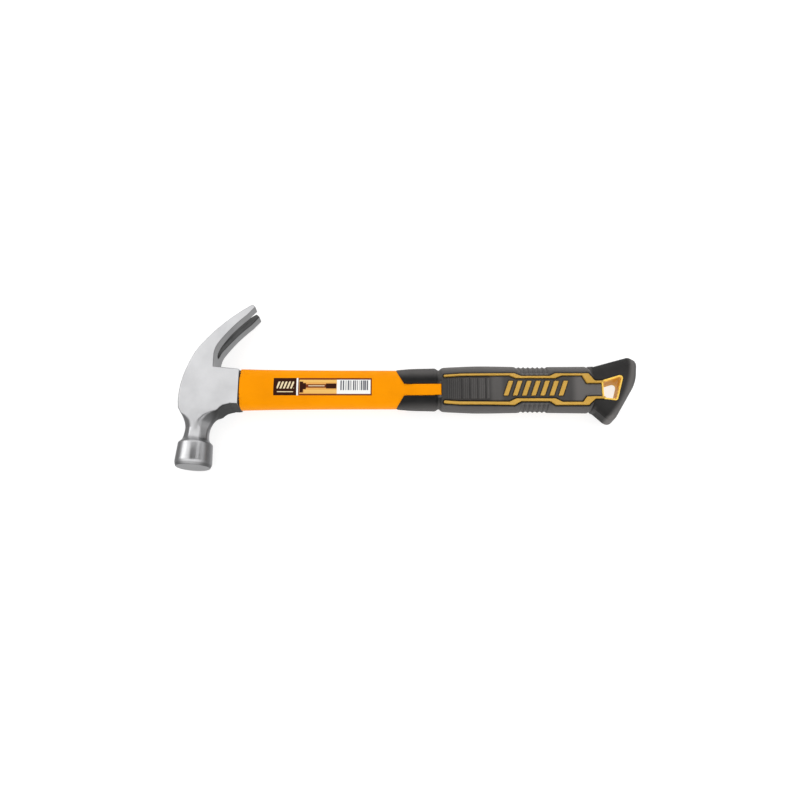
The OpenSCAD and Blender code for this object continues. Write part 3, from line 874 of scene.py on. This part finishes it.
# ---------------------------------------------------------------- pads and label
PAD_LO_X, PAD_HI_X = 192.2, 222.8
RIB_START_X = 192.0
PAD_HALF_Y = 7.4
RIB_PITCH = 1.42
RIB_HEIGHT = 0.34
PAD_GROOVES = (203.0, 208.7, 214.4, 220.2)


def pad_height(x):
    """Fine ribs of the pad, crossed by four deeper grooves."""
    fine = RIB_HEIGHT * (0.5 + 0.5 * np.cos((x - RIB_START_X) / RIB_PITCH * 2 * math.pi))
    for place in PAD_GROOVES:
        fine = fine - groove(x - place, 0.75, 0.55)
    return fine


def surface_z(x, y, sections):
    """Height of the upper skin of a run of sections."""
    top, bottom, half = sections
    hy = np.where(y > 0, top(x), bottom(x))
    return half(x) * np.maximum(1 - (np.abs(y) / hy) ** SQUARENESS, 0) ** (1 / SQUARENESS)


def from_rim(gx, gy):
    """Distance from the rim of a grid's rectangle."""
    return np.minimum.reduce([gx - gx.min(), gx.max() - gx, gy - gy.min(), gy.max() - gy])


def sheet(gx, gy, top, bottom):
    """Closed thin body over a grid in the xy plane between two heights."""
    nx, ny = gx.shape
    points = np.concatenate([np.stack([gx, gy, h], 2).reshape(-1, 3) for h in (top, bottom)])
    at = np.arange(nx * ny).reshape(nx, ny)
    quads = np.stack([at[:-1, :-1], at[1:, :-1], at[1:, 1:], at[:-1, 1:]], 2).reshape(-1, 4)
    rim = np.concatenate([at[:, 0], at[-1, 1:], at[-2::-1, -1], at[0, -2:0:-1]])
    after = np.roll(rim, -1)
    walls = np.stack([rim, rim + nx * ny, after + nx * ny, after], 1)
    return points, np.concatenate([quads, quads[:, ::-1] + nx * ny, walls])


def ribbed_pads():
    """Ribbed pads on both faces of the grip, lighter towards the butt, with painted highlight on the crests
    and painted shade in the deep grooves.
    """
    xs = np.arange(PAD_LO_X, PAD_HI_X, 0.18 * QUICK)
    ys = np.linspace(PATTERN_Y - PAD_HALF_Y, PATTERN_Y + PAD_HALF_Y, 28)
    gx, gy = np.meshgrid(xs, ys, indexing="ij")
    skin = surface_z(gx, gy, GRIP_SECTIONS) - 0.55
    upper = skin + (0.2 + pad_height(gx)) * step_up(from_rim(gx, gy), -0.2, 0.7)
    points, faces = sheet(gx, gy, upper, skin - 0.7)
    both = np.concatenate([points, points * (1, 1, -1)])
    faces = np.concatenate([faces, faces[:, ::-1] + len(points)])
    pads = new_piece("grip_ribbed_pads", both, faces, RUBBER, ["grip"])
    along, height = both[:, 0], pad_height(both[:, 0])
    # painted highlight on the rib crests and painted shade in the deep grooves
    tone_and_painted_light = 0.34 + 0.25 * step_up(along, 192, 222) + 0.6 * (height - RIB_HEIGHT / 2) - 0.4 * (height < -0.05)
    paint(pads, "tone_and_painted_light", tone_and_painted_light)


INKS = {"brown": (0.03, 0.005, 0.001), "cream": (0.80, 0.66, 0.42), "tan": (0.72, 0.36, 0.09),
        "gold": (0.78, 0.47, 0.13), "white": (0.84, 0.84, 0.82), "grey": (0.10, 0.10, 0.12),
        "rust": (0.16, 0.03, 0.008)}
# boxes of ink: colour, left, right, bottom and top, in millimetres from the label's left end and middle
PRINT = [("brown", 0, 16.5, -7, 7), ("white", 16.5, 17.6, -7, 7), ("rust", 17.6, 70.1, -7, 7),
         ("tan", 18.3, 45.2, -5.3, 5.2), ("gold", 18.3, 45.2, 3.1, 4.7), ("gold", 22, 45.2, -4.8, -2.6),
         ("brown", 18.6, 21.2, -4.6, 3.6), ("brown", 21.2, 23.2, -2.2, 2.4), ("rust", 23.2, 45, -1.0, 1.7),
         ("cream", 25, 36.5, 0.1, 0.7), ("brown", 37.5, 45, -1.5, 2.1),
         ("white", 45.2, 69.1, -5.3, 5.2), ("cream", 2.6, 14.2, -4.3, -3.6)]


BAR_FIELD_X = (47.6, 67.6)


def upright_bars():
    """Grey bars of random widths on the label's white field."""
    draw = np.random.default_rng(7)
    bars = []
    left = BAR_FIELD_X[0]
    while left < BAR_FIELD_X[1]:
        width = draw.choice([0.4, 0.7, 1.1])
        bars.append(("grey", left, left + width, -2.8, 4.6))
        left += width + draw.choice([0.45, 0.6, 0.9])
    return bars


def label_ink(points):
    """Colour of the print at each point of the label."""
    across = points[:, 0] - LABEL_LO[0]
    up = points[:, 1] - (LABEL_LO[1] + LABEL_HI[1]) / 2
    ink = np.ones((len(points), 4))
    for colour, left, right, low, high in PRINT + upright_bars():
        ink[(across >= left) & (across <= right) & (up >= low) & (up <= high), :3] = INKS[colour]
    # cream bars on the brown block at the left
    slanted = (across - 2.4 - 0.35 * up) % 2.5 < 1.3
    ink[slanted & (across > 2.4) & (across < 14.6) & (up > -1.6) & (up < 3.6), :3] = INKS["cream"]
    return ink


def label_film():
    """Film label with generic print, over the sleeve's upper face."""
    xs = np.linspace(LABEL_LO[0], LABEL_HI[0], int(281 / QUICK))
    ys = np.linspace(LABEL_LO[1], LABEL_HI[1], int(45 / QUICK))
    gx, gy = np.meshgrid(xs, ys, indexing="ij")
    film = surface_z(gx, gy, JACKET_SECTIONS)
    points, faces = sheet(gx, gy, film + 0.12 * step_up(from_rim(gx, gy), -0.2, 0.3), film - 0.15)
    label = new_piece("label_print_film", points, faces, printed_film(), ["label"])
    layer = label.data.attributes.new("ink", "FLOAT_COLOR", "POINT")
    layer.data.foreach_set("color", label_ink(points).astype(np.float32).ravel())


ribbed_pads()
label_film()

# ---------------------------------------------------------------- stage
FLOOR_SIZE = 30.0
WALL_SIDES = 48
WALL_R = 12.0
WALL_H = 14.0
# grey of the studio at each height of direction: 0 is straight down and 1 straight up
STUDIO = [(0, 0.58), (0.12, 0.46), (0.25, 0.22), (0.5, 0.17), (0.6, 0.32), (0.72, 0.75), (0.85, 1.12)]


def paper(name, grey, glow):
    """Plain matt paper that also glows by itself."""
    shade = Shade(name, Base_Color=(grey, grey, grey, 1), Roughness=0.9,
                  Specular_IOR_Level=0.5 if grey else 0.0,
                  Emission_Color=(1, 1, 1, 1), Emission_Strength=glow)
    return shade.material


def stage_piece(name, points, faces, material):
    """A mesh in metres that stands round the object and isn't part of it."""
    mesh = bpy.data.meshes.new(name)
    mesh.from_pydata(np.asarray(points, float).tolist(), [], faces)
    mesh.materials.append(material)
    piece = bpy.data.objects.new(name, mesh)
    bpy.context.scene.collection.objects.link(piece)
    return piece


floor = stage_piece("floor", FLOOR_SIZE * np.array([(-1, -1, 0), (1, -1, 0), (1, 1, 0), (-1, 1, 0)]),
                    [(0, 1, 2, 3)], paper("floor_paper", 0.35, 0.75))
floor.visible_glossy = False

# pale wall far behind, seen only where a low view passes the floor's horizon
turn = np.linspace(0, 2 * math.pi, WALL_SIDES, endpoint=False)
ring = np.stack([WALL_R * np.cos(turn), WALL_R * np.sin(turn), 0 * turn], 1)
after = np.roll(np.arange(WALL_SIDES), -1).tolist()
wall = stage_piece("wall", np.concatenate([ring, ring + (0, 0, WALL_H)]),
                   [(i, n, n + WALL_SIDES, i + WALL_SIDES) for i, n in enumerate(after)],
                   paper("wall_paper", 0.0, 1.0))
wall.visible_glossy = wall.visible_diffuse = wall.visible_shadow = wall.visible_transmission = False

world = bpy.data.worlds.new("studio")
bpy.context.scene.world = world
world.use_nodes = True
tree = world.node_tree
background = tree.nodes["Background"]
background.inputs["Strength"].default_value = 1.0
direction = tree.nodes.new("ShaderNodeTexCoord").outputs["Generated"]
split = tree.nodes.new("ShaderNodeSeparateXYZ")
height = tree.nodes.new("ShaderNodeMapRange")
height.inputs["From Min"].default_value = -1
ramp = tree.nodes.new("ShaderNodeValToRGB")
tree.links.new(direction, split.inputs[0])
tree.links.new(split.outputs["Z"], height.inputs["Value"])
tree.links.new(height.outputs["Result"], ramp.inputs["Fac"])
tree.links.new(ramp.outputs["Color"], background.inputs["Color"])
stops = ramp.color_ramp.elements
stops[1].position = STUDIO[1][0]
for place, _ in STUDIO[2:]:
    stops.new(place)
for stop, (_, level) in zip(stops, STUDIO):
    stop.color = (level, level, level, 1)


def area_light(name, place, target, size, power):
    """A rectangular light at a place in metres, turned to a target."""
    light = bpy.data.lights.new(name, "AREA")
    light.shape = "RECTANGLE"
    light.size, light.size_y = size
    light.energy = power
    lamp = bpy.data.objects.new(name, light)
    bpy.context.scene.collection.objects.link(lamp)
    lamp.location = place
    lamp.rotation_euler = (Vector(target) - Vector(place)).to_track_quat("-Z", "Y").to_euler()
    return lamp


area_light("softbox_left", (-0.95, 0.4, 0.5), (0, 0, 0), (0.5, 0.5), 1.1)
for lamp in (area_light("strip_behind", (0.2, 0.7, 0.24), (0.1, 0, 0), (0.9, 0.2), 2.5),
             area_light("strip_in_front", (0.3, -0.7, 0.2), (0.12, 0, 0), (0.7, 0.2), 2.5)):
    lamp.visible_glossy = False

# cards that only reflections see: two dark ones close to the bell, a bright one behind
for name, level, corners in (
        ("bell_card", 0.08, [(5, -54, 40), (33, -54, 40), (33, -31, 40), (5, -31, 40)]),
        ("side_card", 0.05, [(45, -54, 28), (45, -30, 28), (45, -30, 42), (45, -54, 42)]),
        ("back_card", 0.6, [(-250, 400, 0), (500, 400, 0), (500, 400, 300), (-250, 400, 300)])):
    card = stage_piece(name, to_frame(np.array(corners)), [(0, 1, 2, 3)], paper(name + "_light", 0.0, level))
    card.visible_camera = card.visible_diffuse = card.visible_shadow = card.visible_transmission = False

PITCH = math.radians(17)
VIEW_TARGET = (159.1, -7.55, 0)
VIEW_DISTANCE = 606
FOCAL_LENGTH = 37.77
camera_data = bpy.data.cameras.new("camera")
camera_data.lens = FOCAL_LENGTH
camera_data.clip_start = 0.01
camera = bpy.data.objects.new("camera", camera_data)
bpy.context.scene.collection.objects.link(camera)
towards = np.array([0, math.sin(PITCH), -math.cos(PITCH)])
camera.location = to_frame(np.array(VIEW_TARGET) - VIEW_DISTANCE * towards)
camera.rotation_euler = (PITCH, 0, 0)
bpy.context.scene.camera = camera
bpy.context.scene.view_settings.view_transform = "Standard"
